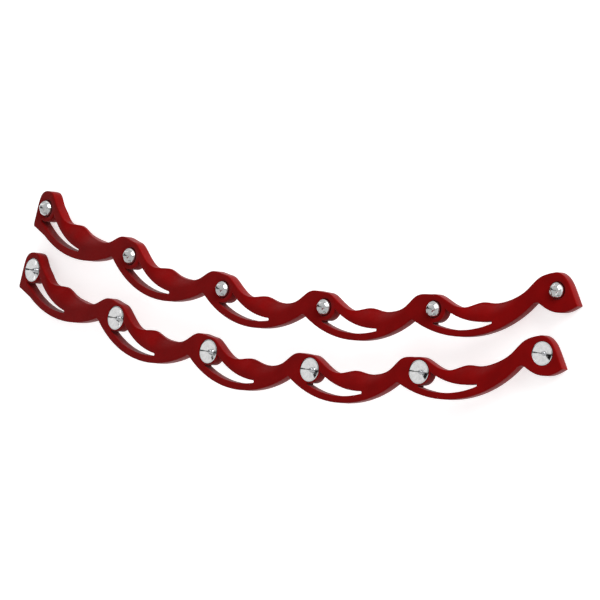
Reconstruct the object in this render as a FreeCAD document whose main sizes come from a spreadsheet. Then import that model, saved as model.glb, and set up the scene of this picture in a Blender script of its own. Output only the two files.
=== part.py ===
"""A pair of flexible ice-traction rails, each carrying six steel studs.

Each rail is one wavy elastomer strip: six round bosses in a gently turning row, joined by five
sagging spans. Every span has a long tapering window between its lower lobe and its upper limb.
The strip is bowed about an axis that runs across it, so its bosses fan out from one centre.

Every boss is bored through and recessed on both faces. A flanged stud goes in from the sole
side, a small carbide pin fills the middle of its dished flange, and a domed spike goes on the
stud's shank from the ground side, so the rail's web is clamped between flange and spike.

The two rails lie beside each other. The left one shows its spikes upward, the right one its
flanges. Frame: +X along the pair, +Z up, origin at the bottom centre of the whole pair.
"""
import FreeCAD, Part

import math
import os

import Sketcher

Vec = FreeCAD.Vector

# Driving dimensions in millimetres and degrees.
DIMENSIONS = {
    # the row of bosses
    "pitch_a": 51.3,
    "pitch_b": 49.5,
    "pitch_c": 48.5,
    "pitch_d": 48.2,
    "pitch_e": 51.4,
    "lean_a": -12.8,
    "lean_b": -6.8,
    "lean_c": -0.2,
    "lean_d": 6.7,
    "lean_e": 15.0,
    "bow_radius": 682.0,
    "half_thick": 2.05,
    # boss and spans
    "boss_top": 5.3,
    "left_boss_top": 6.3,
    "right_boss_top": 6.4,
    "lobe_mid": 15.4,
    "lobe_drop": 11.5,
    "cusp_back": 9.7,
    "cusp_drop": 2.9,
    "cusp_round": 1.1,
    # window under each span
    "window_wall": 4.7,
    "window_turn": 6.5,
    "heel_back": 1.2,
    "heel_drop": 5.1,
    "window_band": 2.5,
    "window_reach": 23.2,
    "window_drop": 7.2,
    "window_sag": 1.8,
    "window_tip": 0.9,
    # holes through a boss
    "flange_recess": 4.3,
    "spike_recess": 3.15,
    "recess_depth": 0.85,
    "bore_radius": 1.9,
    # flanged stud
    "flange_radius": 4.2,
    "flange_rim": 0.4,
    "dish_depth": 1.0,
    "shank_radius": 1.8,
    "shank_length": 4.0,
    # carbide pin
    "pin_radius": 0.75,
    "pin_length": 2.2,
    "pin_sink": 0.45,
    "pin_crown": 0.2,
    # domed spike
    "spike_radius": 2.95,
    "spike_barrel": 0.5,
    "scoop_radius": 1.9,
    "scoop_reach": 3.0,
    "scoop_height": 3.0,
    "fit_gap": 0.03,
    "end_gap": 0.05,
    # the right rail's place beside the left one
    "pair_shift": 2.2,
    "pair_gap": 22.5,
}

SPAN_LETTERS = "abcde"
SPANS = len(SPAN_LETTERS)
BOSSES = SPANS + 1
# The plain ring that the rail is cut from is wider than the rail's whole depth, and the cutting
# shapes reach past its ends.
RING_WIDTH = 200.0
HALF_LENGTH = 150.0

# Points of the upper edge as (along, up) in millimetres from a boss centre: those near a boss
# lie in the boss's own direction, those of the limb in the direction of the span to its right.
BOSS_RIGHT_FLANK = [(4.3, 3.5), (7.6, 1.4)]
LIMB_TOP = [(12.2, -0.9), (18.6, 0.1), (23.4, -0.8), (30.0, -1.0)]
BOSS_LEFT_FLANK = [(-12.5, 1.6), (-6.9, 5.3)]

# The two ends, as (along, up) from the end bosses.
LEFT_END_EDGE = [(-5.4, -0.5), (-4.5, 4.5)]
LEFT_END_CORNER = [(-3.6, -8.3), (-4.9, -8.6), (-5.0, -7.0)]
LEFT_LOBE_START = (2.8, -9.3)
RIGHT_END_EDGE = [(4.0, 3.7), (5.7, -0.3)]
RIGHT_END_CORNER = (7.5, -6.5)
RIGHT_END_TAIL = [(1.9, -8.0), (-4.3, -6.4), (-8.1, -3.4)]

# Samples along one round stretch, enough to keep it within a hundredth of a millimetre.
ARC_SAMPLES = 8


def make_sheet(doc):
    """Put the driving dimensions into a spreadsheet, one aliased cell each."""
    sheet = doc.addObject("Spreadsheet::Sheet", "Sizes")
    for row, (alias, value) in enumerate(DIMENSIONS.items(), start=1):
        sheet.set(f"A{row}", alias)
        sheet.set(f"B{row}", str(value))
        sheet.setAlias(f"B{row}", alias)
    doc.recompute()
    return sheet


# ---------------------------------------------------------------- flat layout of one rail

def turned(point, degrees):
    """Rotate a flat (along, up) pair about the origin."""
    angle = math.radians(degrees)
    x, y = point
    return (x * math.cos(angle) - y * math.sin(angle), x * math.sin(angle) + y * math.cos(angle))


class Row:
    """Boss centres and directions of one rail, laid out flat before it is bowed."""

    def __init__(self, sheet):
        self.span_lean = [getattr(sheet, f"lean_{span}") for span in SPAN_LETTERS]
        pitches = [getattr(sheet, f"pitch_{span}") for span in SPAN_LETTERS]
        centres = [(0.0, 0.0)]
        for lean, pitch in zip(self.span_lean, pitches):
            step = turned((pitch, 0.0), lean)
            last = centres[-1]
            centres.append((last[0] + step[0], last[1] + step[1]))
        middle = centres[-1][0] / 2
        self.centres = [(x - middle, y) for x, y in centres]
        inner = [(a + b) / 2 for a, b in zip(self.span_lean, self.span_lean[1:])]
        self.boss_lean = [self.span_lean[0]] + inner + [self.span_lean[-1]]

    def at_boss(self, index, point):
        """A point given from a boss centre in the boss's own direction."""
        return self.placed(index, turned(point, self.boss_lean[index]))

    def at_span(self, index, point):
        """A point given from a span's left boss centre in the span's direction."""
        return self.placed(index, turned(point, self.span_lean[index]))

    def placed(self, index, offset):
        centre = self.centres[index]
        return (centre[0] + offset[0], centre[1] + offset[1])


def circle_through(first, second, third):
    """Centre and radius of the circle through three flat points."""
    ax, ay = first
    bx, by = second
    cx, cy = third
    twice_area = 2 * (ax * (by - cy) + bx * (cy - ay) + cx * (ay - by))
    a2, b2, c2 = ax * ax + ay * ay, bx * bx + by * by, cx * cx + cy * cy
    ux = (a2 * (by - cy) + b2 * (cy - ay) + c2 * (ay - by)) / twice_area
    uy = (a2 * (cx - bx) + b2 * (ax - cx) + c2 * (bx - ax)) / twice_area
    return (ux, uy), math.hypot(ax - ux, ay - uy)


def bearing(centre, point):
    """Direction from a centre to a point, in radians."""
    return math.atan2(point[1] - centre[1], point[0] - centre[0])


def arc(centre, radius, start, end):
    """Points on a circle from one bearing to another, the short way round."""
    turn = (end - start + math.pi) % (2 * math.pi) - math.pi
    angles = [start + turn * k / (ARC_SAMPLES - 1) for k in range(ARC_SAMPLES)]
    return [(centre[0] + radius * math.cos(a), centre[1] + radius * math.sin(a)) for a in angles]


def rounded_corner(start, corner, end):
    """Points of the small parabola that runs from start to end and would touch at the corner."""
    steps = [k / 4 for k in range(5)]
    return [
        tuple((1 - t) ** 2 * s + 2 * t * (1 - t) * c + t * t * e
              for s, c, e in zip(start, corner, end))
        for t in steps
    ]


def lobe_circle(row, sheet, span):
    """Circle of a span's lower lobe, through its two cusps and its lowest point."""
    cusp = (-sheet.cusp_back, -sheet.cusp_drop)
    low = row.at_span(span, (sheet.lobe_mid, -sheet.lobe_drop))
    return circle_through(row.at_boss(span, cusp), low, row.at_boss(span + 1, cusp))


def unit(degrees):
    """The flat unit vector in a direction."""
    return turned((1.0, 0.0), degrees)


def direction(start, end):
    """The flat unit vector from one point to another."""
    return unit(math.degrees(bearing(start, end)))


def upper_edges(row, sheet):
    """The rail's upper edge, from the left end's side round to the right corner.

    It is cut at each boss's top, where it runs in the boss's own direction.
    """
    last = BOSSES - 1
    rises = [sheet.left_boss_top] + [sheet.boss_top] * (SPANS - 1) + [sheet.right_boss_top]
    tops = [row.at_boss(k, (0.0, rise)) for k, rise in enumerate(rises)]
    runs = [unit(row.boss_lean[k]) for k in range(BOSSES)]

    left = [row.at_boss(0, p) for p in LEFT_END_EDGE] + [tops[0]]
    edges = [(left, direction(left[0], left[1]), runs[0])]
    for span in range(SPANS):
        points = [tops[span]]
        points += [row.at_boss(span, p) for p in BOSS_RIGHT_FLANK]
        points += [row.at_span(span, p) for p in LIMB_TOP]
        points += [row.at_boss(span + 1, p) for p in BOSS_LEFT_FLANK]
        points.append(tops[span + 1])
        edges.append((points, runs[span], runs[span + 1]))
    right = [tops[last]] + [row.at_boss(last, p) for p in RIGHT_END_EDGE]
    right.append(row.at_boss(last, RIGHT_END_CORNER))
    edges.append((right, runs[last], direction(right[-2], right[-1])))
    return edges


def outline_edges(row, sheet):
    """The rail's outer outline, closed: (points, start direction, end direction) for each edge."""
    edges = upper_edges(row, sheet)
    right_corner = edges[-1][0][-1]
    left_side = edges[0][0][0]
    tail = [right_corner] + [row.at_boss(BOSSES - 1, p) for p in RIGHT_END_TAIL]
    edges.append(plain(tail))
    cusp = (-sheet.cusp_back, -sheet.cusp_drop)
    for span in range(SPANS - 1, -1, -1):
        centre, radius = lobe_circle(row, sheet, span)
        trim = sheet.cusp_round / radius
        right_cusp = row.at_boss(span + 1, cusp)
        right_at = bearing(centre, right_cusp) - trim
        if span > 0:
            left_at = bearing(centre, row.at_boss(span, cusp)) + trim
        else:
            left_at = bearing(centre, row.at_boss(0, LEFT_LOBE_START))
        lobe = arc(centre, radius, right_at, left_at)
        edges.append(plain(rounded_corner(edges[-1][0][-1], right_cusp, lobe[0])))
        edges.append(plain(lobe))
    corner = [row.at_boss(0, p) for p in LEFT_END_CORNER]
    edges.append(plain([edges[-1][0][-1], corner[0]]))
    edges.append(plain(rounded_corner(*corner)))
    edges.append(plain([corner[-1], left_side]))
    return edges


def plain(points):
    """An edge whose end directions are left free."""
    return (points, None, None)


def arc_through(first, second, third):
    """Points of the arc from the first point to the third by way of the second."""
    centre, radius = circle_through(first, second, third)
    return arc(centre, radius, bearing(centre, first), bearing(centre, third))


def window_edges(row, sheet, span):
    """The outline of one span's window, closed, in the same form as the outer one."""
    boss = row.centres[span]
    heel = row.at_span(span, (-sheet.heel_back, -sheet.heel_drop))
    upper_left_at = math.radians(row.span_lean[span] - sheet.window_turn)
    inner = arc(boss, sheet.window_wall, bearing(boss, heel), upper_left_at)

    tip = row.at_span(span, (sheet.window_reach, -sheet.window_drop))
    chord_middle = tuple((a + b) / 2 for a, b in zip(inner[-1], tip))
    sag = turned((0.0, -sheet.window_sag), math.degrees(bearing(inner[-1], tip)))
    upper = arc_through(inner[-1], tuple(m + s for m, s in zip(chord_middle, sag)), tip)

    tip_low = row.at_span(span, (sheet.window_reach, -sheet.window_drop - sheet.window_tip))
    low = row.at_span(span, (sheet.lobe_mid, -sheet.lobe_drop + sheet.window_band))
    lower = arc_through(tip_low, low, heel)
    nose = row.at_span(span, (sheet.window_reach + sheet.window_tip / 2,
                              -sheet.window_drop - sheet.window_tip / 2))
    stretches = [inner, upper, [tip, nose, tip_low], lower, [heel, inner[0]]]
    return [plain(points) for points in stretches]


# ---------------------------------------------------------------- bending and solids

def radial_wire(edges, sheet, height):
    """The flat outline thrown onto the plane at a height above the bow's axis, by radial rays.

    Ruling between two such planes makes walls that point at the bow's axis everywhere.
    """
    radius = sheet.bow_radius

    def thrown(point):
        return Vec(height * math.tan(point[0] / radius), point[1], height - radius)

    def thrown_direction(point, flat):
        stretch = height / radius / math.cos(point[0] / radius) ** 2
        return Vec(flat[0] * stretch, flat[1], 0)

    made = []
    for points, start, end in edges:
        placed = [thrown(p) for p in points]
        if len(placed) == 2:
            made.append(Part.makeLine(*placed))
            continue
        marks = [0.0]
        for before, after in zip(points, points[1:]):
            marks.append(marks[-1] + math.dist(before, after))
        curve = Part.BSplineCurve()
        if start:
            curve.interpolate(Points=placed, Parameters=marks,
                              InitialTangent=thrown_direction(points[0], start),
                              FinalTangent=thrown_direction(points[-1], end))
        else:
            curve.interpolate(Points=placed, Parameters=marks)
        made.append(curve.toShape())
    return Part.Wire(made)


def radial_prism(doc, name, edges, sheet):
    """A solid whose walls stand radially on a flat outline, taller than the rail is thick."""
    end_fall = sheet.bow_radius * (1 - math.cos(HALF_LENGTH / sheet.bow_radius))
    thick = sheet.half_thick * 2
    heights = [sheet.bow_radius - end_fall - 2 * thick, sheet.bow_radius + thick]
    wires = []
    for level, height in zip(("low", "high"), heights):
        wire = doc.addObject("Part::Feature", f"{name}_{level}")
        wire.Shape = radial_wire(edges, sheet, height)
        wires.append(wire)
    prism = doc.addObject("Part::Loft", name)
    prism.Sections = wires
    prism.Solid = True
    prism.Ruled = True
    return prism


def bow_placement(row, sheet, index):
    """Where a boss sits on the bowed rail's middle surface, with +Z pointing out of the bow."""
    along, up = row.centres[index]
    angle = along / sheet.bow_radius
    place = Vec(sheet.bow_radius * math.sin(angle), up,
                sheet.bow_radius * math.cos(angle) - sheet.bow_radius)
    return FreeCAD.Placement(place, FreeCAD.Rotation(Vec(0, 1, 0), math.degrees(angle)))


def make_bow_ring(doc, name):
    """The thick cylinder whose top arc is the bowed rail's body."""
    drums = []
    for label, sign in (("outer", "+"), ("inner", "-")):
        drum = doc.addObject("Part::Cylinder", f"{name}_{label}")
        drum.setExpression("Radius", f"Sizes.bow_radius {sign} Sizes.half_thick")
        drum.Height = RING_WIDTH
        drums.append(drum)
    ring = doc.addObject("Part::Cut", name)
    ring.Base, ring.Tool = drums
    for drum in drums:
        drum.setExpression("Placement.Base.z", "-Sizes.bow_radius")
        drum.Placement.Base.y = RING_WIDTH / 2
        drum.Placement.Rotation = FreeCAD.Rotation(Vec(1, 0, 0), 90)
    return ring


def make_rail(doc, sheet, row, label, flipped):
    """One rail: bowed strip with windows, bores and a recess on each face of every boss.

    The recess for a stud's flange is on the lower face, or on the upper one of a flipped rail.
    """
    blank = radial_prism(doc, f"{label}_outline", outline_edges(row, sheet), sheet)
    strip = doc.addObject("Part::Common", f"{label}_strip")
    strip.Base = blank
    strip.Tool = make_bow_ring(doc, f"{label}_ring")

    cutters = []
    for span in range(SPANS):
        cutters.append(radial_prism(doc, f"{label}_window_{span + 1}",
                                    window_edges(row, sheet, span), sheet))
    for index in range(BOSSES):
        place = bow_placement(row, sheet, index)
        cutters.append(make_bore(doc, sheet, f"{label}_bore_{index + 1}", place))
        for fitted in ("flange", "spike"):
            name = f"{label}_{fitted}_recess_{index + 1}"
            upward = flipped == (fitted == "flange")
            cutters.append(make_recess(doc, sheet, name, place, fitted, upward))
    tool = doc.addObject("Part::Compound", f"{label}_cutters")
    tool.Links = cutters
    rail = doc.addObject("Part::Cut", label)
    rail.Base = strip
    rail.Tool = tool
    rail.Label = label
    return rail


def make_bore(doc, sheet, name, place):
    """A hole right through a boss."""
    bore = doc.addObject("Part::Cylinder", name)
    bore.setExpression("Radius", "Sizes.bore_radius")
    bore.setExpression("Height", "Sizes.half_thick * 4")
    lower = FreeCAD.Placement(Vec(0, 0, -2 * sheet.half_thick), FreeCAD.Rotation())
    bore.Placement = place.multiply(lower)
    return bore


def make_recess(doc, sheet, name, place, fitted, upward):
    """A round flat-bottomed recess for a flange or a spike, opening up or down from a boss."""
    recess = doc.addObject("Part::Cylinder", name)
    recess.setExpression("Radius", f"Sizes.{fitted}_recess")
    recess.setExpression("Height", "Sizes.half_thick * 2")
    floor = sheet.half_thick - sheet.recess_depth
    flip = FreeCAD.Rotation(Vec(1, 0, 0), 0 if upward else 180)
    up = FreeCAD.Placement(Vec(0, 0, 0), flip)
    raised = FreeCAD.Placement(Vec(0, 0, floor), FreeCAD.Rotation())
    recess.Placement = place.multiply(up).multiply(raised)
    return recess


# ---------------------------------------------------------------- turned steel pieces

def origin_part(body, role):
    """One of a body's own origin planes or axes."""
    return next(f for f in body.Origin.OriginFeatures if f.Role == role)


def lathe_body(doc, label, corners, dome=None):
    """A body turned from a half profile.

    corners are (radius, height) expressions going round the profile; a radius of None lies on
    the axis. dome is the index of the corner from which an arc centred on the axis runs to the
    next corner, with the height of its centre.
    """
    body = doc.addObject("PartDesign::Body", label)
    body.Label = label
    sketch = body.newObject("Sketcher::SketchObject", f"{label}_profile")
    sketch.AttachmentSupport = [(origin_part(body, "XZ_Plane"), "")]
    sketch.MapMode = "FlatFace"

    value = doc.getObject("Sizes")
    spots = []
    for radius, height in corners:
        spots.append(Vec(evaluate(value, radius) if radius else 0.0, evaluate(value, height), 0))
    count = len(corners)
    for k in range(count):
        start, end = spots[k], spots[(k + 1) % count]
        if dome and dome[0] == k:
            centre = Vec(0, evaluate(value, dome[1]), 0)
            circle = Part.Circle(centre, Vec(0, 0, 1), start.distanceToPoint(centre))
            dome_arc = Part.ArcOfCircle(circle, circle.parameter(start), circle.parameter(end))
            sketch.addGeometry(dome_arc, False)
        else:
            sketch.addGeometry(Part.LineSegment(start, end), False)
    join_profile(sketch, count)
    for k, (radius, height) in enumerate(corners):
        pin_corner(sketch, k, radius, height, spots[k])
    if dome:
        centre_on_axis(sketch, dome[0])

    turn = body.newObject("PartDesign::Revolution", f"{label}_turned")
    turn.Profile = sketch
    turn.ReferenceAxis = (sketch, ["V_Axis"])
    turn.Angle = 360.0
    sketch.Visibility = False
    body.Tip = turn
    return body


def evaluate(sheet, expression):
    """The present value of an expression in the sheet's sizes."""
    total = 0.0
    sign = 1.0
    for word in expression.split():
        if word in "+-":
            sign = 1.0 if word == "+" else -1.0
            continue
        total += sign * getattr(sheet, word)
    return total


def sheet_expression(expression):
    """The same expression with each alias addressed in the sheet."""
    words = [w if w in "+-" else f"Sizes.{w}" for w in expression.split()]
    return " ".join(words)


def join_profile(sketch, count):
    """Join each profile edge's end to the next one's start."""
    for k in range(count):
        sketch.addConstraint(Sketcher.Constraint("Coincident", k, 2, (k + 1) % count, 1))


def pin_corner(sketch, edge, radius, height, spot):
    """Hold the start of a profile edge at its radius and height."""
    if radius is None:
        sketch.addConstraint(Sketcher.Constraint("PointOnObject", edge, 1, -2))
    else:
        number = sketch.addConstraint(Sketcher.Constraint("DistanceX", -1, 1, edge, 1, spot.x))
        sketch.setExpression(f"Constraints[{number}]", sheet_expression(radius))
    number = sketch.addConstraint(Sketcher.Constraint("DistanceY", -1, 1, edge, 1, spot.y))
    sketch.setExpression(f"Constraints[{number}]", sheet_expression(height))


def centre_on_axis(sketch, edge):
    """Keep an arc's centre on the turning axis."""
    sketch.addConstraint(Sketcher.Constraint("PointOnObject", edge, 3, -2))


def make_stud(doc, label):
    """Flanged stud: a dished flange with a hole for the pin, and a plain shank above it."""
    return lathe_body(doc, label, [
        ("flange_radius", "- half_thick"),
        ("flange_radius", "- half_thick + recess_depth"),
        ("shank_radius", "- half_thick + recess_depth"),
        ("shank_radius", "- half_thick + recess_depth + shank_length"),
        (None, "- half_thick + recess_depth + shank_length"),
        (None, "- half_thick + pin_sink + pin_length"),
        ("pin_radius + fit_gap", "- half_thick + pin_sink + pin_length"),
        ("pin_radius + fit_gap", "- half_thick + dish_depth"),
        ("flange_radius - flange_rim", "- half_thick"),
    ])


def make_pin(doc, label):
    """Carbide pin with a small crown, seated on the bottom of the stud's hole."""
    return lathe_body(doc, label, [
        (None, "- half_thick + pin_sink"),
        ("pin_radius - pin_crown", "- half_thick + pin_sink"),
        ("pin_radius", "- half_thick + pin_sink + pin_crown"),
        ("pin_radius", "- half_thick + pin_sink + pin_length"),
        (None, "- half_thick + pin_sink + pin_length"),
    ])


def make_spike(doc, label):
    """Domed spike: short barrel, round nose, blind bore for the shank and three scoops."""
    body = lathe_body(doc, label, [
        ("shank_radius + fit_gap", "half_thick - recess_depth"),
        ("spike_radius", "half_thick - recess_depth"),
        ("spike_radius", "half_thick - recess_depth + spike_barrel"),
        (None, "half_thick - recess_depth + spike_barrel + spike_radius"),
        (None, "- half_thick + recess_depth + shank_length + end_gap"),
        ("shank_radius + fit_gap", "- half_thick + recess_depth + shank_length + end_gap"),
    ], dome=(2, "half_thick - recess_depth + spike_barrel"))

    scoop = body.newObject("PartDesign::SubtractiveSphere", f"{label}_scoop")
    scoop.setExpression("Radius", "Sizes.scoop_radius")
    scoop.AttachmentSupport = [(origin_part(body, "XY_Plane"), "")]
    scoop.MapMode = "FlatFace"
    scoop.setExpression("AttachmentOffset.Base.y", "Sizes.scoop_reach")
    scoop.setExpression(
        "AttachmentOffset.Base.z",
        "Sizes.half_thick - Sizes.recess_depth + Sizes.spike_barrel + Sizes.scoop_height",
    )
    doc.recompute()
    before = scoop.Shape.Volume
    ring = body.newObject("PartDesign::PolarPattern", f"{label}_scoops")
    ring.Originals = [scoop]
    ring.Axis = (origin_part(body, "Z_Axis"), [""])
    ring.Angle = 360.0
    ring.Occurrences = 3
    body.Tip = ring
    doc.recompute()
    if not ring.Shape.Volume < before:
        raise RuntimeError(f"{label}: the scoops cut nothing")
    return body


# ---------------------------------------------------------------- the pair

def set_on_floor(parts):
    """Lower a group of sub-parts until its lowest point is at height zero."""
    lowest = min(part.Shape.optimalBoundingBox().ZMin for part in parts)
    move(parts, Vec(0, 0, -lowest))


def move(parts, shift):
    """Shift a group of sub-parts by their Placements."""
    for part in parts:
        place = part.Placement
        part.Placement = FreeCAD.Placement(place.Base + shift, place.Rotation)


def make_side(doc, sheet, row, side, flipped):
    """One rail with its six studs, pins and spikes. A flipped one shows its flanges upward."""
    parts = [make_rail(doc, sheet, row, f"{side}_rail", flipped)]
    over = FreeCAD.Placement(Vec(0, 0, 0), FreeCAD.Rotation(Vec(1, 0, 0), 180 if flipped else 0))
    for index in range(BOSSES):
        place = bow_placement(row, sheet, index).multiply(over)
        for maker, piece in ((make_stud, "stud"), (make_pin, "pin"), (make_spike, "spike")):
            body = maker(doc, f"{side}_{piece}_{index + 1}")
            body.Placement = place
            parts.append(body)
    return parts


def check(doc, parts):
    """Stop if any object failed or any sub-part is not one valid solid."""
    for item in doc.Objects:
        if {"Invalid", "Error"} & set(item.State):
            raise RuntimeError(f"{item.Name} failed: {item.State}")
    for part in parts:
        shape = part.Shape
        if shape.isNull() or not shape.isValid() or len(shape.Solids) != 1:
            raise RuntimeError(f"{part.Label} is not one valid solid")


def build():
    """Build the whole pair and write each sub-part to its own file."""
    doc = FreeCAD.newDocument("traction_rails")
    sheet = make_sheet(doc)
    row = Row(sheet)
    left = make_side(doc, sheet, row, "left", flipped=False)
    right = make_side(doc, sheet, row, "right", flipped=True)
    doc.recompute()
    check(doc, left + right)

    set_on_floor(left)
    move(right, Vec(-sheet.pair_shift, -sheet.pair_gap, 0))
    set_on_floor(right)
    parts = left + right
    boxes = [part.Shape.optimalBoundingBox() for part in parts]
    middle_x = (min(b.XMin for b in boxes) + max(b.XMax for b in boxes)) / 2
    middle_y = (min(b.YMin for b in boxes) + max(b.YMax for b in boxes)) / 2
    move(parts, Vec(-middle_x, -middle_y, 0))
    check(doc, parts)

    os.makedirs("parts", exist_ok=True)
    for part in parts:
        part.Shape.exportStep(f"parts/{part.Label}.step")


build()
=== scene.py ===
"""Looks of a pair of bowed, wavy ice-traction rails with polished studs and domed spikes."""

import math

import bmesh
import bpy
import numpy as np
from mathutils import Matrix, Vector
from mathutils.geometry import delaunay_2d_cdt


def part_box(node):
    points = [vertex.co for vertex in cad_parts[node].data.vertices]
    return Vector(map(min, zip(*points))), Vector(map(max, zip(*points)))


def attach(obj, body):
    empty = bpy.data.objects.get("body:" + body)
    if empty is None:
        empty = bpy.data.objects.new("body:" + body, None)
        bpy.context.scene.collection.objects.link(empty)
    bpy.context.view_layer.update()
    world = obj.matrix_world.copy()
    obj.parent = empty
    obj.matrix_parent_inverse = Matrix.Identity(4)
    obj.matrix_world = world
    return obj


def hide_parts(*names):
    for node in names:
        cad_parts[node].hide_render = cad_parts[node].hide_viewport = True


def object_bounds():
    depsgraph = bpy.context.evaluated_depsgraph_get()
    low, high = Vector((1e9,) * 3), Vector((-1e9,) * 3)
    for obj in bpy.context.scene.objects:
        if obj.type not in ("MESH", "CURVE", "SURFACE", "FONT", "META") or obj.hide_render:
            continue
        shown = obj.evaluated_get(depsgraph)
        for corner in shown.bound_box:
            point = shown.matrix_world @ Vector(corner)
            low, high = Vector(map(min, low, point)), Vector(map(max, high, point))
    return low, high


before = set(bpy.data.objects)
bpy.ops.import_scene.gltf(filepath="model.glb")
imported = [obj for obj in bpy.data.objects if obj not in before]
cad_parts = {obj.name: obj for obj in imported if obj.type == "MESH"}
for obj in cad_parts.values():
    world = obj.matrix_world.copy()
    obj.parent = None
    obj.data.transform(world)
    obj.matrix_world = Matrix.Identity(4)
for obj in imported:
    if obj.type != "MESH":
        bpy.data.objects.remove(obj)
cad_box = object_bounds()

MM = 0.001

# ---------------------------------------------------------------- the rail's flat layout
# The flat layout is in millimetres and degrees. It is bowed and turned into metres at the end.
# Boss points are measured from a boss's centre, and span points from the span's left boss.

BOSSES = 6
SPANS = BOSSES - 1
SPAN_PITCHES = (51.3, 49.5, 48.5, 48.2, 51.4)
SPAN_LEANS = (-12.8, -6.8, -0.2, 6.7, 15.0)
BOW_RADIUS = 682.0
HALF_THICK = 2.05

BOSS_TOPS = (6.3, 5.3, 5.3, 5.3, 5.3, 6.4)
BOSS_RIGHT_FLANK = [(4.3, 3.5), (7.6, 1.4)]
LIMB_TOP = [(12.2, -0.9), (18.6, 0.1), (23.4, -0.8), (30.0, -1.0)]
BOSS_LEFT_FLANK = [(-12.5, 1.6), (-6.9, 5.3)]
LEFT_END_EDGE = [(-5.4, -0.5), (-4.5, 4.5)]
LEFT_END_CORNER = [(-3.6, -8.3), (-4.9, -8.6), (-5.0, -7.0)]
LEFT_LOBE_START = (2.8, -9.3)
RIGHT_END_EDGE = [(4.0, 3.7), (5.7, -0.3)]
RIGHT_END_CORNER = (7.5, -6.5)
RIGHT_END_TAIL = [(1.9, -8.0), (-4.3, -6.4), (-8.1, -3.4)]
CUSP = (-9.7, -2.9)
CUSP_ROUND = 1.1
LOBE_LOW = (15.4, -11.5)

WINDOW_WALL = 4.7
WINDOW_TURN = 6.5
WINDOW_HEEL = (-1.2, -5.1)
WINDOW_BAND = 2.5
WINDOW_TIP = (23.2, -7.2)
WINDOW_TIP_WIDTH = 0.9
WINDOW_SAG = 1.8

FLANGE_RECESS = 4.3
SPIKE_RECESS = 3.15
RECESS_DEPTH = 0.85
BORE_RADIUS = 1.9

# The rounded shoulder that falls away in front of each limb's upper edge: where along the span
# it starts, peaks and ends, its width at the peak and the share of it left at both ends, and how
# steeply it curves.
SHOULDER_FROM = 8.0
SHOULDER_PEAK = 20.0
SHOULDER_TO = 38.0
SHOULDER_WIDTH = 5.0
SHOULDER_LEAST = 0.35
SHOULDER_FALL = 3.0
SHOULDER_CURVE = 1.6

OUTER_BEVEL = 0.28
WINDOW_BEVEL = 0.16
RECESS_BEVEL = 0.14
RECESS_FILLET = 0.12
RAIL_CREASE = 38.0

# How finely edges, arcs, circles and faces are divided. Arcs are in radians.
EDGE_STEP = 0.6
ARC_STEP = 0.25
CIRCLE_STEPS = 56
GRID_STEP = 0.8
GRID_CLEARANCE = 0.55

# Just short of half a turn, so that the short way round is the wanted one.
HALF_TURN = math.pi * 0.999


def turned(point, degrees):
    """Rotate a flat point about the origin."""
    angle = math.radians(degrees)
    x, y = point
    return np.array([x * math.cos(angle) - y * math.sin(angle),
                     x * math.sin(angle) + y * math.cos(angle)])


class Row:
    """Boss centres of one rail, laid out flat, and the way that each boss and span leans."""

    def __init__(self):
        self.span_lean = SPAN_LEANS
        centres = [np.zeros(2)]
        for lean, pitch in zip(SPAN_LEANS, SPAN_PITCHES):
            centres.append(centres[-1] + turned((pitch, 0.0), lean))
        middle = np.array([centres[-1][0] / 2, 0.0])
        self.centres = [c - middle for c in centres]
        inner = [(a + b) / 2 for a, b in zip(SPAN_LEANS, SPAN_LEANS[1:])]
        self.boss_lean = [SPAN_LEANS[0]] + inner + [SPAN_LEANS[-1]]

    def at_boss(self, index, point):
        """A point given from a boss's centre, in the whole layout."""
        return self.centres[index] + turned(point, self.boss_lean[index])

    def at_span(self, index, point):
        """A point given from a span's left boss, in the whole layout."""
        return self.centres[index] + turned(point, self.span_lean[index])


ROW = Row()


def circle_through(first, second, third):
    """Centre and radius of the circle through three flat points."""
    rows = 2 * np.array([second - first, third - second])
    sums = np.array([second @ second - first @ first, third @ third - second @ second])
    centre = np.linalg.solve(rows, sums)
    return centre, float(np.linalg.norm(first - centre))


def bearing(centre, point):
    """The direction in radians from a centre to a point."""
    return math.atan2(point[1] - centre[1], point[0] - centre[0])


def arc(centre, radius, start, end):
    """Points on a circle from one bearing to another, the short way round."""
    turn = (end - start + math.pi) % (2 * math.pi) - math.pi
    count = max(int(abs(turn) / ARC_STEP), int(abs(turn) * radius / EDGE_STEP)) + 2
    angles = start + np.linspace(0.0, turn, count)
    return centre + radius * np.stack([np.cos(angles), np.sin(angles)], axis=1)


def arc_through(first, second, third):
    """The arc from the first point to the third that passes the second."""
    centre, radius = circle_through(first, second, third)
    return arc(centre, radius, bearing(centre, first), bearing(centre, third))


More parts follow.
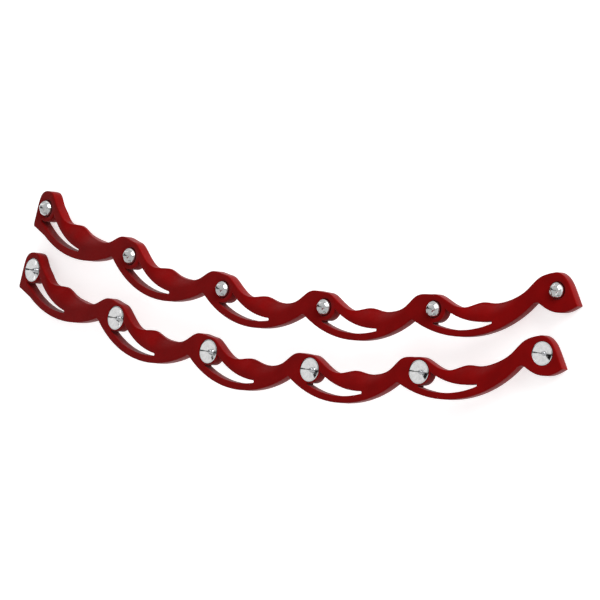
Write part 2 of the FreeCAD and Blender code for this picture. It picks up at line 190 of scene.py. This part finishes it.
def smooth_line(points, start=None, end=None):
    """A cubic spline through the points by distance, with end directions where they are given."""
    points = np.array(points)
    gaps = np.linalg.norm(np.diff(points, axis=0), axis=1)
    marks = np.concatenate([[0.0], np.cumsum(gaps)])
    count = len(points)
    matrix = np.zeros((count, count))
    right = np.zeros((count, 2))
    matrix[0, :2] = (1, 0) if start is not None else (2, 1)
    right[0] = start if start is not None else 3 * (points[1] - points[0]) / gaps[0]
    matrix[-1, -2:] = (0, 1) if end is not None else (1, 2)
    right[-1] = end if end is not None else 3 * (points[-1] - points[-2]) / gaps[-1]
    for k in range(1, count - 1):
        matrix[k, k - 1:k + 2] = (gaps[k], 2 * (gaps[k - 1] + gaps[k]), gaps[k - 1])
        before = (points[k] - points[k - 1]) / gaps[k - 1]
        after = (points[k + 1] - points[k]) / gaps[k]
        right[k] = 3 * (gaps[k] * before + gaps[k - 1] * after)
    slopes = np.linalg.solve(matrix, right)

    steps = max(2, int(marks[-1] / EDGE_STEP) + 1)
    places = np.linspace(0.0, marks[-1], steps)
    piece = np.clip(np.searchsorted(marks, places, side="right") - 1, 0, count - 2)
    gap = gaps[piece][:, None]
    t = ((places - marks[piece]) / gaps[piece])[:, None]
    return ((1 + 2 * t) * (1 - t) ** 2 * points[piece] + t * (1 - t) ** 2 * gap * slopes[piece]
            + t * t * (3 - 2 * t) * points[piece + 1] + t * t * (t - 1) * gap * slopes[piece + 1])


def rounded_corner(start, corner, end):
    """The small parabola from start to end that would touch at the corner."""
    steps = np.linspace(0.0, 1.0, 6)[:, None]
    return (1 - steps) ** 2 * start + 2 * steps * (1 - steps) * corner + steps ** 2 * end


def closed_loop(stretches):
    """Join stretches end to end into one closed loop without repeated points."""
    return np.vstack([stretch[:-1] for stretch in stretches])


def upper_stretches():
    """The rail's upper edge from the left end's side round to the right corner."""
    last = BOSSES - 1
    tops = [ROW.at_boss(k, (0.0, rise)) for k, rise in enumerate(BOSS_TOPS)]
    runs = [turned((1.0, 0.0), ROW.boss_lean[k]) for k in range(BOSSES)]
    left = [ROW.at_boss(0, p) for p in LEFT_END_EDGE] + [tops[0]]
    stretches = [smooth_line(left, end=runs[0])]
    for span in range(SPANS):
        points = [tops[span]]
        points += [ROW.at_boss(span, p) for p in BOSS_RIGHT_FLANK]
        points += [ROW.at_span(span, p) for p in LIMB_TOP]
        points += [ROW.at_boss(span + 1, p) for p in BOSS_LEFT_FLANK]
        points.append(tops[span + 1])
        stretches.append(smooth_line(points, runs[span], runs[span + 1]))
    right = [tops[last]] + [ROW.at_boss(last, p) for p in RIGHT_END_EDGE]
    right.append(ROW.at_boss(last, RIGHT_END_CORNER))
    stretches.append(smooth_line(right, start=runs[last]))
    return stretches


def outer_loop():
    """The rail's outline, clockwise."""
    stretches = upper_stretches()
    tail = [stretches[-1][-1]] + [ROW.at_boss(BOSSES - 1, p) for p in RIGHT_END_TAIL]
    stretches.append(smooth_line(tail))
    for span in range(SPANS - 1, -1, -1):
        cusps = [ROW.at_boss(k, CUSP) for k in (span, span + 1)]
        centre, radius = circle_through(cusps[0], ROW.at_span(span, LOBE_LOW), cusps[1])
        trim = CUSP_ROUND / radius
        right_at = bearing(centre, cusps[1]) - trim
        left_at = bearing(centre, cusps[0]) + trim
        if span == 0:
            left_at = bearing(centre, ROW.at_boss(0, LEFT_LOBE_START))
        lobe = arc(centre, radius, right_at, left_at)
        stretches.append(rounded_corner(stretches[-1][-1], cusps[1], lobe[0]))
        stretches.append(lobe)
    corner = [ROW.at_boss(0, p) for p in LEFT_END_CORNER]
    stretches.append(smooth_line([stretches[-1][-1], corner[0]]))
    stretches.append(rounded_corner(*corner))
    stretches.append(smooth_line([corner[-1], stretches[0][0]]))
    return closed_loop(stretches)


def window_loop(span):
    """The outline of one span's window."""
    boss = ROW.centres[span]
    heel = ROW.at_span(span, WINDOW_HEEL)
    upper_left_at = math.radians(ROW.span_lean[span] - WINDOW_TURN)
    inner = arc(boss, WINDOW_WALL, bearing(boss, heel), upper_left_at)
    tip = ROW.at_span(span, WINDOW_TIP)
    sag = turned((0.0, -WINDOW_SAG), math.degrees(bearing(inner[-1], tip)))
    upper = arc_through(inner[-1], (inner[-1] + tip) / 2 + sag, tip)
    tip_low = ROW.at_span(span, (WINDOW_TIP[0], WINDOW_TIP[1] - WINDOW_TIP_WIDTH))
    low = ROW.at_span(span, (LOBE_LOW[0], LOBE_LOW[1] + WINDOW_BAND))
    lower = arc_through(tip_low, low, heel)
    nose = arc((tip + tip_low) / 2, WINDOW_TIP_WIDTH / 2, bearing(tip_low, tip),
               bearing(tip_low, tip) - HALF_TURN)
    return closed_loop([inner, upper, nose, lower, smooth_line([heel, inner[0]])])


def circle_loop(centre, radius):
    """A whole circle, anticlockwise."""
    angles = np.linspace(0.0, 2 * math.pi, CIRCLE_STEPS, endpoint=False)
    return centre + radius * np.stack([np.cos(angles), np.sin(angles)], axis=1)


# ---------------------------------------------------------------- flat helpers

def turning_sense(loop):
    """Positive for a loop that runs anticlockwise."""
    ahead = np.roll(loop, -1, axis=0)
    return float(np.sum(loop[:, 0] * ahead[:, 1] - ahead[:, 0] * loop[:, 1]))


def shifted(loop, distance):
    """The loop moved sideways, towards its own inside for a positive distance."""
    ahead = np.roll(loop, -1, axis=0) - loop
    ahead /= np.linalg.norm(ahead, axis=1)[:, None]
    behind = np.roll(ahead, 1, axis=0)
    side = ahead + behind
    side /= np.maximum(np.linalg.norm(side, axis=1), 1e-6)[:, None]
    normal = np.stack([-side[:, 1], side[:, 0]], axis=1)
    stretch = 1.0 / np.clip(np.sum(side * ahead, axis=1), 0.6, 1.0)
    sense = 1.0 if turning_sense(loop) > 0 else -1.0
    return loop + normal * (sense * distance * stretch)[:, None]


def inside(points, loop):
    """Which flat points lie inside a closed loop."""
    x, y = points[:, 0][:, None], points[:, 1][:, None]
    ahead = np.roll(loop, -1, axis=0)
    crosses = (loop[:, 1] > y) != (ahead[:, 1] > y)
    rise = np.where(ahead[:, 1] == loop[:, 1], 1e-12, ahead[:, 1] - loop[:, 1])
    at = loop[:, 0] + (y - loop[:, 1]) * (ahead[:, 0] - loop[:, 0]) / rise
    return np.sum(crosses & (x < at), axis=1) % 2 == 1


def distance_to(points, loop):
    """How far each flat point is from the nearest point of a finely divided loop."""
    best = np.full(len(points), 1e9)
    for start in range(0, len(loop), 200):
        part = loop[start:start + 200]
        gaps = np.linalg.norm(points[:, None, :] - part[None, :, :], axis=2)
        best = np.minimum(best, gaps.min(axis=1))
    return best


def smooth_step(value):
    """Ease from 0 to 1, level at both ends."""
    value = np.clip(value, 0.0, 1.0)
    return value * value * (3 - 2 * value)


def shoulder_drop(points, upper):
    """How far the front face falls away towards the limbs' upper edges."""
    drop = np.zeros(len(points))
    for span in range(SPANS):
        angle = -ROW.span_lean[span]
        local = np.array([turned(p, angle) for p in points - ROW.centres[span]])
        along = local[:, 0]
        rise = smooth_step((along - SHOULDER_FROM) / (SHOULDER_PEAK - SHOULDER_FROM))
        fade = smooth_step((SHOULDER_TO - along) / (SHOULDER_TO - SHOULDER_PEAK))
        share = rise * fade
        chosen = np.nonzero(share > 0.001)[0]
        if not len(chosen):
            continue
        depth = distance_to(points[chosen], upper)
        width = SHOULDER_WIDTH * (SHOULDER_LEAST + (1 - SHOULDER_LEAST) * share[chosen])
        near = np.clip(1.0 - depth / width, 0.0, 1.0) ** SHOULDER_CURVE
        drop[chosen] = np.maximum(drop[chosen], SHOULDER_FALL * share[chosen] * near)
    return drop


# ---------------------------------------------------------------- bending

def bent(points, heights):
    """Flat points at heights above the middle surface, bowed, in metres before placing."""
    angle = points[:, 0] / BOW_RADIUS
    radius = BOW_RADIUS + heights
    return MM * np.stack([radius * np.sin(angle), points[:, 1],
                          radius * np.cos(angle) - BOW_RADIUS], axis=1)


def boss_matrix(index):
    """A boss's place on the bowed middle surface before placing, its Z out of the bow."""
    along, up = ROW.centres[index]
    angle = along / BOW_RADIUS
    spot = Vector((BOW_RADIUS * math.sin(angle), up, BOW_RADIUS * math.cos(angle) - BOW_RADIUS))
    return Matrix.Translation(spot * MM) @ Matrix.Rotation(angle, 4, "Y")


# ---------------------------------------------------------------- meshes

def finished_mesh(name, places, faces, crease):
    """A smooth mesh in metres, its faces turned outwards and edges over the crease angle sharp."""
    mesh = bpy.data.meshes.new(name)
    mesh.from_pydata(places.tolist(), [], faces)
    tidy = bmesh.new()
    tidy.from_mesh(mesh)
    bmesh.ops.recalc_face_normals(tidy, faces=tidy.faces)
    tidy.to_mesh(mesh)
    tidy.free()
    mesh.shade_smooth()
    mesh.set_sharp_from_angle(angle=math.radians(crease))
    return mesh


def add_object(name, mesh):
    """Put a mesh into the scene."""
    thing = bpy.data.objects.new(name, mesh)
    bpy.context.scene.collection.objects.link(thing)
    return thing


# ---------------------------------------------------------------- the rail's mesh

class Builder:
    """Collects vertices and faces of one mesh."""

    def __init__(self):
        self.places = []
        self.faces = []

    def ring(self, loop, heights):
        """Add a loop of vertices at one height, or one height each, and give their numbers."""
        start = len(self.places)
        level = np.broadcast_to(heights, (len(loop),))
        self.places += [(p[0], p[1], h) for p, h in zip(loop, level)]
        return list(range(start, start + len(loop)))

    def bridge(self, lower, upper):
        """Join two rings of the same length with quads."""
        count = len(lower)
        for k in range(count):
            j = (k + 1) % count
            self.faces.append((lower[k], lower[j], upper[j], upper[k]))

    def sheet(self, rings, inner_points, keep, height_of):
        """Fill between rings already added with triangles over some inner points."""
        numbers = [n for ring in rings for n in ring]
        flat = [self.places[n][:2] for n in numbers]
        edges = []
        start = 0
        for ring in rings:
            count = len(ring)
            edges += [(start + k, start + (k + 1) % count) for k in range(count)]
            start += count
        heights = height_of(inner_points)
        first = len(self.places)
        self.places += [(p[0], p[1], h) for p, h in zip(inner_points, heights)]
        numbers += range(first, first + len(inner_points))
        flat += [tuple(p) for p in inner_points]
        coords = [Vector(p) for p in flat]
        made, _, faces, source, _, _ = delaunay_2d_cdt(coords, edges, [], 0, 1e-6)
        middles = np.array([[sum(made[v][0] for v in f) / 3, sum(made[v][1] for v in f) / 3]
                            for f in faces])
        for face, wanted in zip(faces, keep(middles)):
            if wanted:
                self.faces.append(tuple(numbers[source[v][0]] for v in face))


def bevel_rows(loop, size, inward):
    """Loop and height pairs that round an edge, from the face down to the wall."""
    rows = []
    for share in (0.0, 1 / 3, 2 / 3, 1.0):
        angle = share * math.pi / 2
        rows.append((shifted(loop, inward * size * (1 - math.sin(angle))),
                     HALF_THICK - size * (1 - math.cos(angle))))
    return rows


def grid_inside(outer, holes):
    """Evenly spread flat points that keep clear of every edge."""
    low, high = outer.min(axis=0), outer.max(axis=0)
    xs = np.arange(low[0], high[0], GRID_STEP)
    ys = np.arange(low[1], high[1], GRID_STEP)
    grid = np.array([(x + (GRID_STEP / 2 if row % 2 else 0), y)
                     for row, y in enumerate(ys) for x in xs])
    grid = grid[inside(grid, outer)]
    for hole in holes:
        grid = grid[~inside(grid, hole)]
    for loop in [outer] + holes:
        grid = grid[distance_to(grid, loop) > GRID_STEP * GRID_CLEARANCE]
    return grid


def recess_profile(radius, sense):
    """(radius, height) pairs from a boss's upper or lower face down one recess to the bore."""
    floor = HALF_THICK - RECESS_DEPTH
    half = [(radius + RECESS_BEVEL, HALF_THICK),
            (radius + RECESS_BEVEL * 0.3, HALF_THICK - RECESS_BEVEL * 0.3),
            (radius, HALF_THICK - RECESS_BEVEL),
            (radius, floor + RECESS_FILLET),
            (radius - RECESS_FILLET, floor),
            (BORE_RADIUS, floor)]
    return [(r, sense * h) for r, h in half]


def rail_mesh(name, flipped):
    """One moulded strip: bowed faces, rounded edges, windows, recesses and bores."""
    outer = outer_loop()
    upper = np.vstack(upper_stretches()[1:-1])
    windows = [window_loop(span) for span in range(SPANS)]
    build = Builder()

    walls = [(outer, OUTER_BEVEL, 1.0)] + [(w, WINDOW_BEVEL, -1.0) for w in windows]
    face_rings = {1: [], -1: []}
    face_loops = []
    for loop, size, inward in walls:
        rows = bevel_rows(loop, size, inward)
        face_loops.append(rows[0][0])
        top_drop = shoulder_drop(rows[0][0], upper) if loop is outer else np.zeros(len(loop))
        rings = []
        for place, height in rows:
            rings.append(build.ring(place, height - top_drop))
        for place, height in reversed(rows):
            rings.append(build.ring(place, -height))
        for above, below in zip(rings, rings[1:]):
            build.bridge(above, below)
        face_rings[1].append(rings[0])
        face_rings[-1].append(rings[-1])

    radii = (FLANGE_RECESS, SPIKE_RECESS) if flipped else (SPIKE_RECESS, FLANGE_RECESS)
    profile = recess_profile(radii[0], 1) + recess_profile(radii[1], -1)[::-1]
    for index in range(BOSSES):
        rings = [build.ring(circle_loop(ROW.centres[index], radius), height)
                 for radius, height in profile]
        for above, below in zip(rings, rings[1:]):
            build.bridge(above, below)
        face_rings[1].append(rings[0])
        face_rings[-1].append(rings[-1])

    holes = {sense: [circle_loop(centre, radius + RECESS_BEVEL) for centre in ROW.centres]
             for sense, radius in zip((1, -1), radii)}
    grid = grid_inside(face_loops[0], face_loops[1:] + holes[-1 if radii[1] > radii[0] else 1])
    heights = {1: lambda p: HALF_THICK - shoulder_drop(p, upper),
               -1: lambda p: np.full(len(p), -HALF_THICK)}
    for sense in (1, -1):
        def keep(middles):
            wanted = inside(middles, face_loops[0])
            for loop in face_loops[1:] + holes[sense]:
                wanted &= ~inside(middles, loop)
            return wanted
        build.sheet(face_rings[sense], grid, keep, heights[sense])

    places = np.array(build.places)
    return finished_mesh(name, bent(places[:, :2], places[:, 2]), build.faces, RAIL_CREASE)


# ---------------------------------------------------------------- turned steel pieces

TURN_STEPS = 72
STEEL_CREASE = 32.0

FLANGE_RADIUS = 4.2
FLANGE_RIM = 0.4
FLANGE_ROUND = 0.14
DISH_DEPTH = 1.0
DISH_STEP = ((2.15, 0.52), (2.3, 0.42))
DISH_FLOOR = 0.45
SHANK_RADIUS = 1.8
SHANK_LENGTH = 4.0
SHANK_CHAMFER = 0.25
PIN_RADIUS = 0.75
PIN_LENGTH = 2.2
PIN_SINK = 0.45
PIN_CROWN = 0.22
SPIKE_RADIUS = 2.95
SPIKE_BARREL = 0.5
SCOOPS = 3
SCOOP_RADIUS = 1.9
SCOOP_REACH = 3.0
SCOOP_HEIGHT = 3.0
FIRST_SCOOP = 90.0
FIT_GAP = 0.03
END_GAP = 0.05
CHAMFER = 0.1


def turned_mesh(name, profile, reshape=None):
    """A closed solid turned from (radius, height) pairs in millimetres that start and end at 0."""
    angles = np.linspace(0.0, 2 * math.pi, TURN_STEPS, endpoint=False)
    places, faces, rings = [], [], []
    for radius, height in profile:
        if radius == 0:
            rings.append([len(places)])
            places.append((0.0, 0.0, height))
            continue
        rings.append(list(range(len(places), len(places) + TURN_STEPS)))
        places += [(radius * math.cos(a), radius * math.sin(a), height) for a in angles]
    for above, below in zip(rings, rings[1:]):
        for k in range(TURN_STEPS):
            j = (k + 1) % TURN_STEPS
            if len(above) == 1:
                faces.append((above[0], below[k], below[j]))
            elif len(below) == 1:
                faces.append((above[k], below[0], above[j]))
            else:
                faces.append((above[k], below[k], below[j], above[j]))
    places = np.array(places)
    if reshape:
        places = reshape(places)
    return finished_mesh(name, places * MM, faces, STEEL_CREASE)


def stud_profile():
    """Half profile of the flanged stud, from the dish round the flange to the shank's end."""
    rim = -HALF_THICK
    inner = FLANGE_RADIUS - FLANGE_RIM
    hole = PIN_RADIUS + FIT_GAP
    seat = -HALF_THICK + RECESS_DEPTH
    end = seat + SHANK_LENGTH
    hole_end = rim + PIN_SINK + PIN_LENGTH
    pin_hole = [(0, hole_end), (hole, hole_end), (hole, rim + DISH_DEPTH)]
    dish = [(hole + DISH_FLOOR, rim + DISH_DEPTH - 0.03)]
    dish += [(radius, rim + depth) for radius, depth in DISH_STEP]
    dish += [(inner, rim + 0.06), (inner + 0.08, rim)]
    flange = [(FLANGE_RADIUS - FLANGE_ROUND, rim), (FLANGE_RADIUS - 0.04, rim + 0.04),
              (FLANGE_RADIUS, rim + FLANGE_ROUND), (FLANGE_RADIUS, seat - CHAMFER),
              (FLANGE_RADIUS - CHAMFER, seat)]
    shank = [(SHANK_RADIUS + CHAMFER, seat), (SHANK_RADIUS, seat + CHAMFER),
             (SHANK_RADIUS, end - SHANK_CHAMFER), (SHANK_RADIUS - SHANK_CHAMFER, end), (0, end)]
    return pin_hole + dish + flange + shank


def pin_profile():
    """Half profile of the carbide pin, crowned at its outer end."""
    outer = -HALF_THICK + PIN_SINK
    inner = outer + PIN_LENGTH
    crown = [(PIN_RADIUS * math.sin(a), outer + PIN_CROWN * (1 - math.cos(a)))
             for a in np.linspace(0.0, math.pi / 2, 7)[1:]]
    foot = [(PIN_RADIUS, inner - CHAMFER), (PIN_RADIUS - CHAMFER, inner), (0, inner)]
    return [(0, outer)] + crown + foot


def spike_profile():
    """Half profile of the spike: blind bore, foot, barrel and round nose."""
    foot = HALF_THICK - RECESS_DEPTH
    centre = foot + SPIKE_BARREL
    bore = SHANK_RADIUS + FIT_GAP
    bore_end = -HALF_THICK + RECESS_DEPTH + SHANK_LENGTH + END_GAP
    nose = [(SPIKE_RADIUS * math.cos(a), centre + SPIKE_RADIUS * math.sin(a))
            for a in np.linspace(0.0, math.pi / 2, 26)[:-1]]
    blind = [(0, bore_end), (bore, bore_end), (bore, foot + CHAMFER), (bore + CHAMFER, foot)]
    base = [(SPIKE_RADIUS - 0.12, foot), (SPIKE_RADIUS, foot + 0.12)]
    return blind + base + nose + [(0, centre + SPIKE_RADIUS)]


def scooped(places):
    """Press three round scoops into the spike's nose, along lines to the nose's centre."""
    centre = np.array([0.0, 0.0, HALF_THICK - RECESS_DEPTH + SPIKE_BARREL])
    places = places.copy()
    for k in range(SCOOPS):
        angle = math.radians(FIRST_SCOOP + 360 * k / SCOOPS)
        middle = np.array([SCOOP_REACH * math.cos(angle), SCOOP_REACH * math.sin(angle),
                           centre[2] + SCOOP_HEIGHT])
        for n, place in enumerate(places):
            out = place - centre
            reach = np.linalg.norm(out)
            if place[2] < centre[2] or reach < SPIKE_RADIUS * 0.7:
                continue
            if np.linalg.norm(place - middle) >= SCOOP_RADIUS:
                continue
            out = out / reach
            to_middle = middle - centre
            along = float(out @ to_middle)
            under = along * along - float(to_middle @ to_middle) + SCOOP_RADIUS ** 2
            places[n] = centre + out * (along - math.sqrt(under))
    return places


# ---------------------------------------------------------------- materials

def new_material(name):
    """A new material with its nodes and links."""
    material = bpy.data.materials.new(name)
    material.use_nodes = True
    return material, material.node_tree.nodes, material.node_tree.links


def object_space(nodes):
    """The object's own coordinates, in metres."""
    return nodes.new("ShaderNodeTexCoord").outputs["Object"]


def noise(nodes, links, vector, scale, detail, roughness=0.55):
    """Soft cloudy noise between 0 and 1."""
    made = nodes.new("ShaderNodeTexNoise")
    made.inputs["Scale"].default_value = scale
    made.inputs["Detail"].default_value = detail
    made.inputs["Roughness"].default_value = roughness
    links.new(vector, made.inputs["Vector"])
    return made.outputs["Fac"]


def ramp(nodes, links, factor, stops):
    """A colour for each factor, blended between the stops."""
    made = nodes.new("ShaderNodeValToRGB")
    while len(made.color_ramp.elements) < len(stops):
        made.color_ramp.elements.new(0.5)
    for element, (position, colour) in zip(made.color_ramp.elements, stops):
        element.position = position
        element.color = colour
    links.new(factor, made.inputs["Fac"])
    return made.outputs["Color"]


def value_range(nodes, links, factor, low, high):
    """A factor from 0 to 1 moved to between low and high."""
    made = nodes.new("ShaderNodeMapRange")
    made.inputs["To Min"].default_value = low
    made.inputs["To Max"].default_value = high
    links.new(factor, made.inputs["Value"])
    return made.outputs["Result"]


def bump(nodes, links, height, strength, distance, before=None):
    """A small relief in the surface, on top of another one where it is given."""
    made = nodes.new("ShaderNodeBump")
    made.inputs["Strength"].default_value = strength
    made.inputs["Distance"].default_value = distance
    links.new(height, made.inputs["Height"])
    if before is not None:
        links.new(before, made.inputs["Normal"])
    return made.outputs["Normal"]


def elastomer_material():
    """Matt deep-red moulded elastomer: faintly cloudy colour, fine grain and a soft bloom."""
    material, nodes, links = new_material("red_elastomer")
    shader = nodes["Principled BSDF"]
    space = object_space(nodes)
    cloud = noise(nodes, links, space, 140.0, 5.0)
    grain = noise(nodes, links, space, 2600.0, 3.0, 0.6)
    links.new(ramp(nodes, links, cloud, [
        (0.25, (0.135, 0.0002, 0.0003, 1)),
        (0.55, (0.163, 0.0003, 0.0004, 1)),
        (0.80, (0.190, 0.0006, 0.0008, 1)),
    ]), shader.inputs["Base Color"])
    links.new(value_range(nodes, links, grain, 0.42, 0.62), shader.inputs["Roughness"])
    soft = bump(nodes, links, cloud, 0.25, 0.0002)
    links.new(bump(nodes, links, grain, 0.55, 0.00008, soft), shader.inputs["Normal"])
    shader.inputs["Specular IOR Level"].default_value = 0.03
    shader.inputs["Sheen Weight"].default_value = 0.22
    shader.inputs["Sheen Roughness"].default_value = 0.35
    return material


def steel_material(name, colour, roughness, ring_scale):
    """Polished turned steel with faint tool rings and fine hairline scratches."""
    material, nodes, links = new_material(name)
    shader = nodes["Principled BSDF"]
    shader.inputs["Metallic"].default_value = 1.0
    space = object_space(nodes)
    rings = nodes.new("ShaderNodeTexWave")
    rings.wave_type = "RINGS"
    rings.rings_direction = "Z"
    rings.inputs["Scale"].default_value = ring_scale
    rings.inputs["Distortion"].default_value = 0.4
    links.new(space, rings.inputs["Vector"])
    smear = noise(nodes, links, space, 900.0, 6.0, 0.65)
    dark = tuple(c * 0.82 for c in colour) + (1,)
    links.new(ramp(nodes, links, smear, [(0.30, dark), (0.62, colour + (1,))]),
              shader.inputs["Base Color"])
    links.new(value_range(nodes, links, smear, roughness * 0.6, roughness * 1.5),
              shader.inputs["Roughness"])
    turned_marks = bump(nodes, links, rings.outputs["Fac"], 0.10, 0.00001)
    links.new(bump(nodes, links, smear, 0.08, 0.00002, turned_marks), shader.inputs["Normal"])
    return material


def floor_material():
    """Plain pale floor, self-lit enough to stay pale in soft light."""
    material, nodes, links = new_material("pale_floor")
    shader = nodes["Principled BSDF"]
    space = object_space(nodes)
    soft = noise(nodes, links, space, 3.0, 2.0)
    links.new(ramp(nodes, links, soft, [(0.3, (0.88, 0.88, 0.88, 1)), (0.7, (0.9, 0.9, 0.9, 1))]),
              shader.inputs["Base Color"])
    shader.inputs["Roughness"].default_value = 0.9
    shader.inputs["Specular IOR Level"].default_value = 0.0
    shader.inputs["Emission Color"].default_value = (1, 1, 1, 1)
    shader.inputs["Emission Strength"].default_value = 0.50
    return material


# ---------------------------------------------------------------- building the pair

# Which side each rail is, and how far it is turned over about its length.
RAILS = (("left", 0.0), ("right", math.pi))


def build_pair():
    """Both rails with their studs, pins and spikes, each riding on its own body."""
    rubber = elastomer_material()
    stud_steel = steel_material("polished_stud", (0.92, 0.92, 0.92), 0.09, 1800.0)
    spike_steel = steel_material("polished_spike", (0.60, 0.61, 0.61), 0.14, 1500.0)
    carbide = steel_material("ground_carbide", (0.62, 0.63, 0.65), 0.20, 2400.0)
    pieces = (("stud", stud_profile(), None, stud_steel, "stud_steel"),
              ("pin", pin_profile(), None, carbide, "carbide"),
              ("spike", spike_profile(), scooped, spike_steel, "spike_steel"))

    for side, flip in RAILS:
        body = f"{side}_rail_set"
        node = f"{side}_rail"
        name = f"{side}_moulded_rail"
        rail = add_object(name, rail_mesh(name, flip > 0))
        rail.data.materials.append(rubber)
        low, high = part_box(node)
        corners = np.array([v.co for v in rail.data.vertices])
        middle_x, middle_y, _ = (corners.min(axis=0) + corners.max(axis=0)) / 2
        shift = Matrix.Translation(((low[0] + high[0]) / 2 - middle_x,
                                    (low[1] + high[1]) / 2 - middle_y,
                                    high[2] - corners[:, 2].max()))
        rail.data.transform(shift)
        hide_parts(node)
        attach(rail, body)

        over = Matrix.Rotation(flip, 4, "X")
        for piece, profile, reshape, material, slot in pieces:
            mesh = turned_mesh(f"{piece}_{side}", profile, reshape)
            mesh.materials.append(material)
            for index in range(BOSSES):
                name = f"{side}_{piece}_{index + 1}"
                thing = add_object(f"turned_{name}", mesh)
                thing.matrix_world = shift @ boss_matrix(index) @ over
                bpy.context.view_layer.update()
                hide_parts(name)
                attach(thing, body)


# ---------------------------------------------------------------- floor, light and camera

FLOOR_HALF = 6.0
FLOOR_GAP = 0.0001

KEY_PLACE = (0.9, 0.95, 0.32)
KEY_SIZE = 1.0
KEY_POWER = 24.0

# The dark wedge in the surroundings: its half width and middle in Y, how both grow towards -X,
# and where its edge starts and ends as shares of the half width.
WEDGE_HALF = 0.06
WEDGE_GROWTH = 0.12
WEDGE_MIDDLE = -0.03
WEDGE_DRIFT = 0.13
WEDGE_EDGE = (0.75, 1.20)
WORLD_DARK = 0.01
WORLD_BRIGHT = 0.95
WORLD_STRENGTH = 0.80


def add_floor():
    """A wide plain floor just under the pair."""
    half = FLOOR_HALF
    mesh = bpy.data.meshes.new("floor")
    mesh.from_pydata([(-half, -half, 0), (half, -half, 0), (half, half, 0), (-half, half, 0)],
                     [], [(0, 1, 2, 3)])
    mesh.materials.append(floor_material())
    floor = add_object("floor", mesh)
    floor.location.z = cad_box[0][2] - FLOOR_GAP


def add_softbox(name, place, size, power):
    """A square soft light aimed at the middle of the pair."""
    light = bpy.data.lights.new(name, "AREA")
    light.shape = "SQUARE"
    light.size = size
    light.energy = power
    thing = bpy.data.objects.new(name, light)
    thing.location = place
    thing.rotation_euler = (-Vector(place)).to_track_quat("-Z", "Y").to_euler()
    thing.visible_camera = False
    bpy.context.scene.collection.objects.link(thing)


def math_node(nodes, links, operation, *values):
    """One arithmetic node; each value is a number or another node's output."""
    made = nodes.new("ShaderNodeMath")
    made.operation = operation
    for socket, value in zip(made.inputs, values):
        if isinstance(value, (int, float)):
            socket.default_value = value
        else:
            links.new(value, socket)
    return made.outputs["Value"]


def add_world():
    """Pale surroundings with one dark wedge, which the polished steel picks up.

    The wedge is a hairline overhead and widens towards the horizon on the -X side.
    """
    world = bpy.data.worlds.new("soft_room")
    bpy.context.scene.world = world
    world.use_nodes = True
    nodes, links = world.node_tree.nodes, world.node_tree.links
    coords = nodes.new("ShaderNodeTexCoord")
    split = nodes.new("ShaderNodeSeparateXYZ")
    links.new(coords.outputs["Generated"], split.inputs["Vector"])
    away = math_node(nodes, links, "MULTIPLY", split.outputs["X"], -1.0)
    reach = math_node(nodes, links, "MAXIMUM", away, 0.0)
    spread = math_node(nodes, links, "POWER", reach, 2.0)
    width = math_node(nodes, links, "MULTIPLY_ADD", spread, WEDGE_GROWTH, WEDGE_HALF)
    centre = math_node(nodes, links, "MULTIPLY_ADD", spread, WEDGE_DRIFT, WEDGE_MIDDLE)
    offset = math_node(nodes, links, "SUBTRACT", split.outputs["Y"], centre)
    gap = math_node(nodes, links, "ABSOLUTE", offset)
    across = math_node(nodes, links, "DIVIDE", gap, width)
    wedge = nodes.new("ShaderNodeMapRange")
    wedge.interpolation_type = "SMOOTHSTEP"
    wedge.inputs["From Min"].default_value = WEDGE_EDGE[0]
    wedge.inputs["From Max"].default_value = WEDGE_EDGE[1]
    wedge.inputs["To Min"].default_value = WORLD_DARK
    wedge.inputs["To Max"].default_value = WORLD_BRIGHT
    links.new(across, wedge.inputs["Value"])
    background = nodes["Background"]
    links.new(wedge.outputs["Result"], background.inputs["Color"])
    background.inputs["Strength"].default_value = WORLD_STRENGTH


# Where the camera stands, as seen from the pair: tilt from straight above towards +X, a little
# towards +Y, then turned about its own line of sight.
CAMERA_TILT = 41.8
CAMERA_SIDE = 2.4
CAMERA_ROLL = 7.6
CAMERA_DISTANCE = 5.88
CAMERA_LENS = 1000.0
SENSOR = 36.0
CAMERA_AIM = (0.0022, 0.0047, 0.0038)


def add_camera():
    """A long lens looking down on the pair from the right, rolled so that +Y is nearly up."""
    tilt, side, roll = (math.radians(v) for v in (CAMERA_TILT, CAMERA_SIDE, CAMERA_ROLL))
    level = Vector((math.sin(tilt), 0.0, math.cos(tilt)))
    across = Vector((0.0, 1.0, 0.0))
    back = level * math.cos(side) + across * math.sin(side)
    up = across * math.cos(side) - level * math.sin(side)
    right = up.cross(back)
    rolled_right = right * math.cos(roll) + up * math.sin(roll)
    rolled_up = up * math.cos(roll) - right * math.sin(roll)
    data = bpy.data.cameras.new("camera")
    data.lens = CAMERA_LENS
    data.sensor_width = SENSOR
    data.clip_end = 100.0
    camera = bpy.data.objects.new("camera", data)
    bpy.context.scene.collection.objects.link(camera)
    turn = Matrix((rolled_right, rolled_up, back)).transposed().to_4x4()
    camera.matrix_world = Matrix.Translation(Vector(CAMERA_AIM) + back * CAMERA_DISTANCE) @ turn
    bpy.context.scene.camera = camera


add_camera()
build_pair()
add_floor()
add_world()
add_softbox("key", KEY_PLACE, KEY_SIZE, KEY_POWER)
bpy.context.scene.view_settings.view_transform = "Standard"
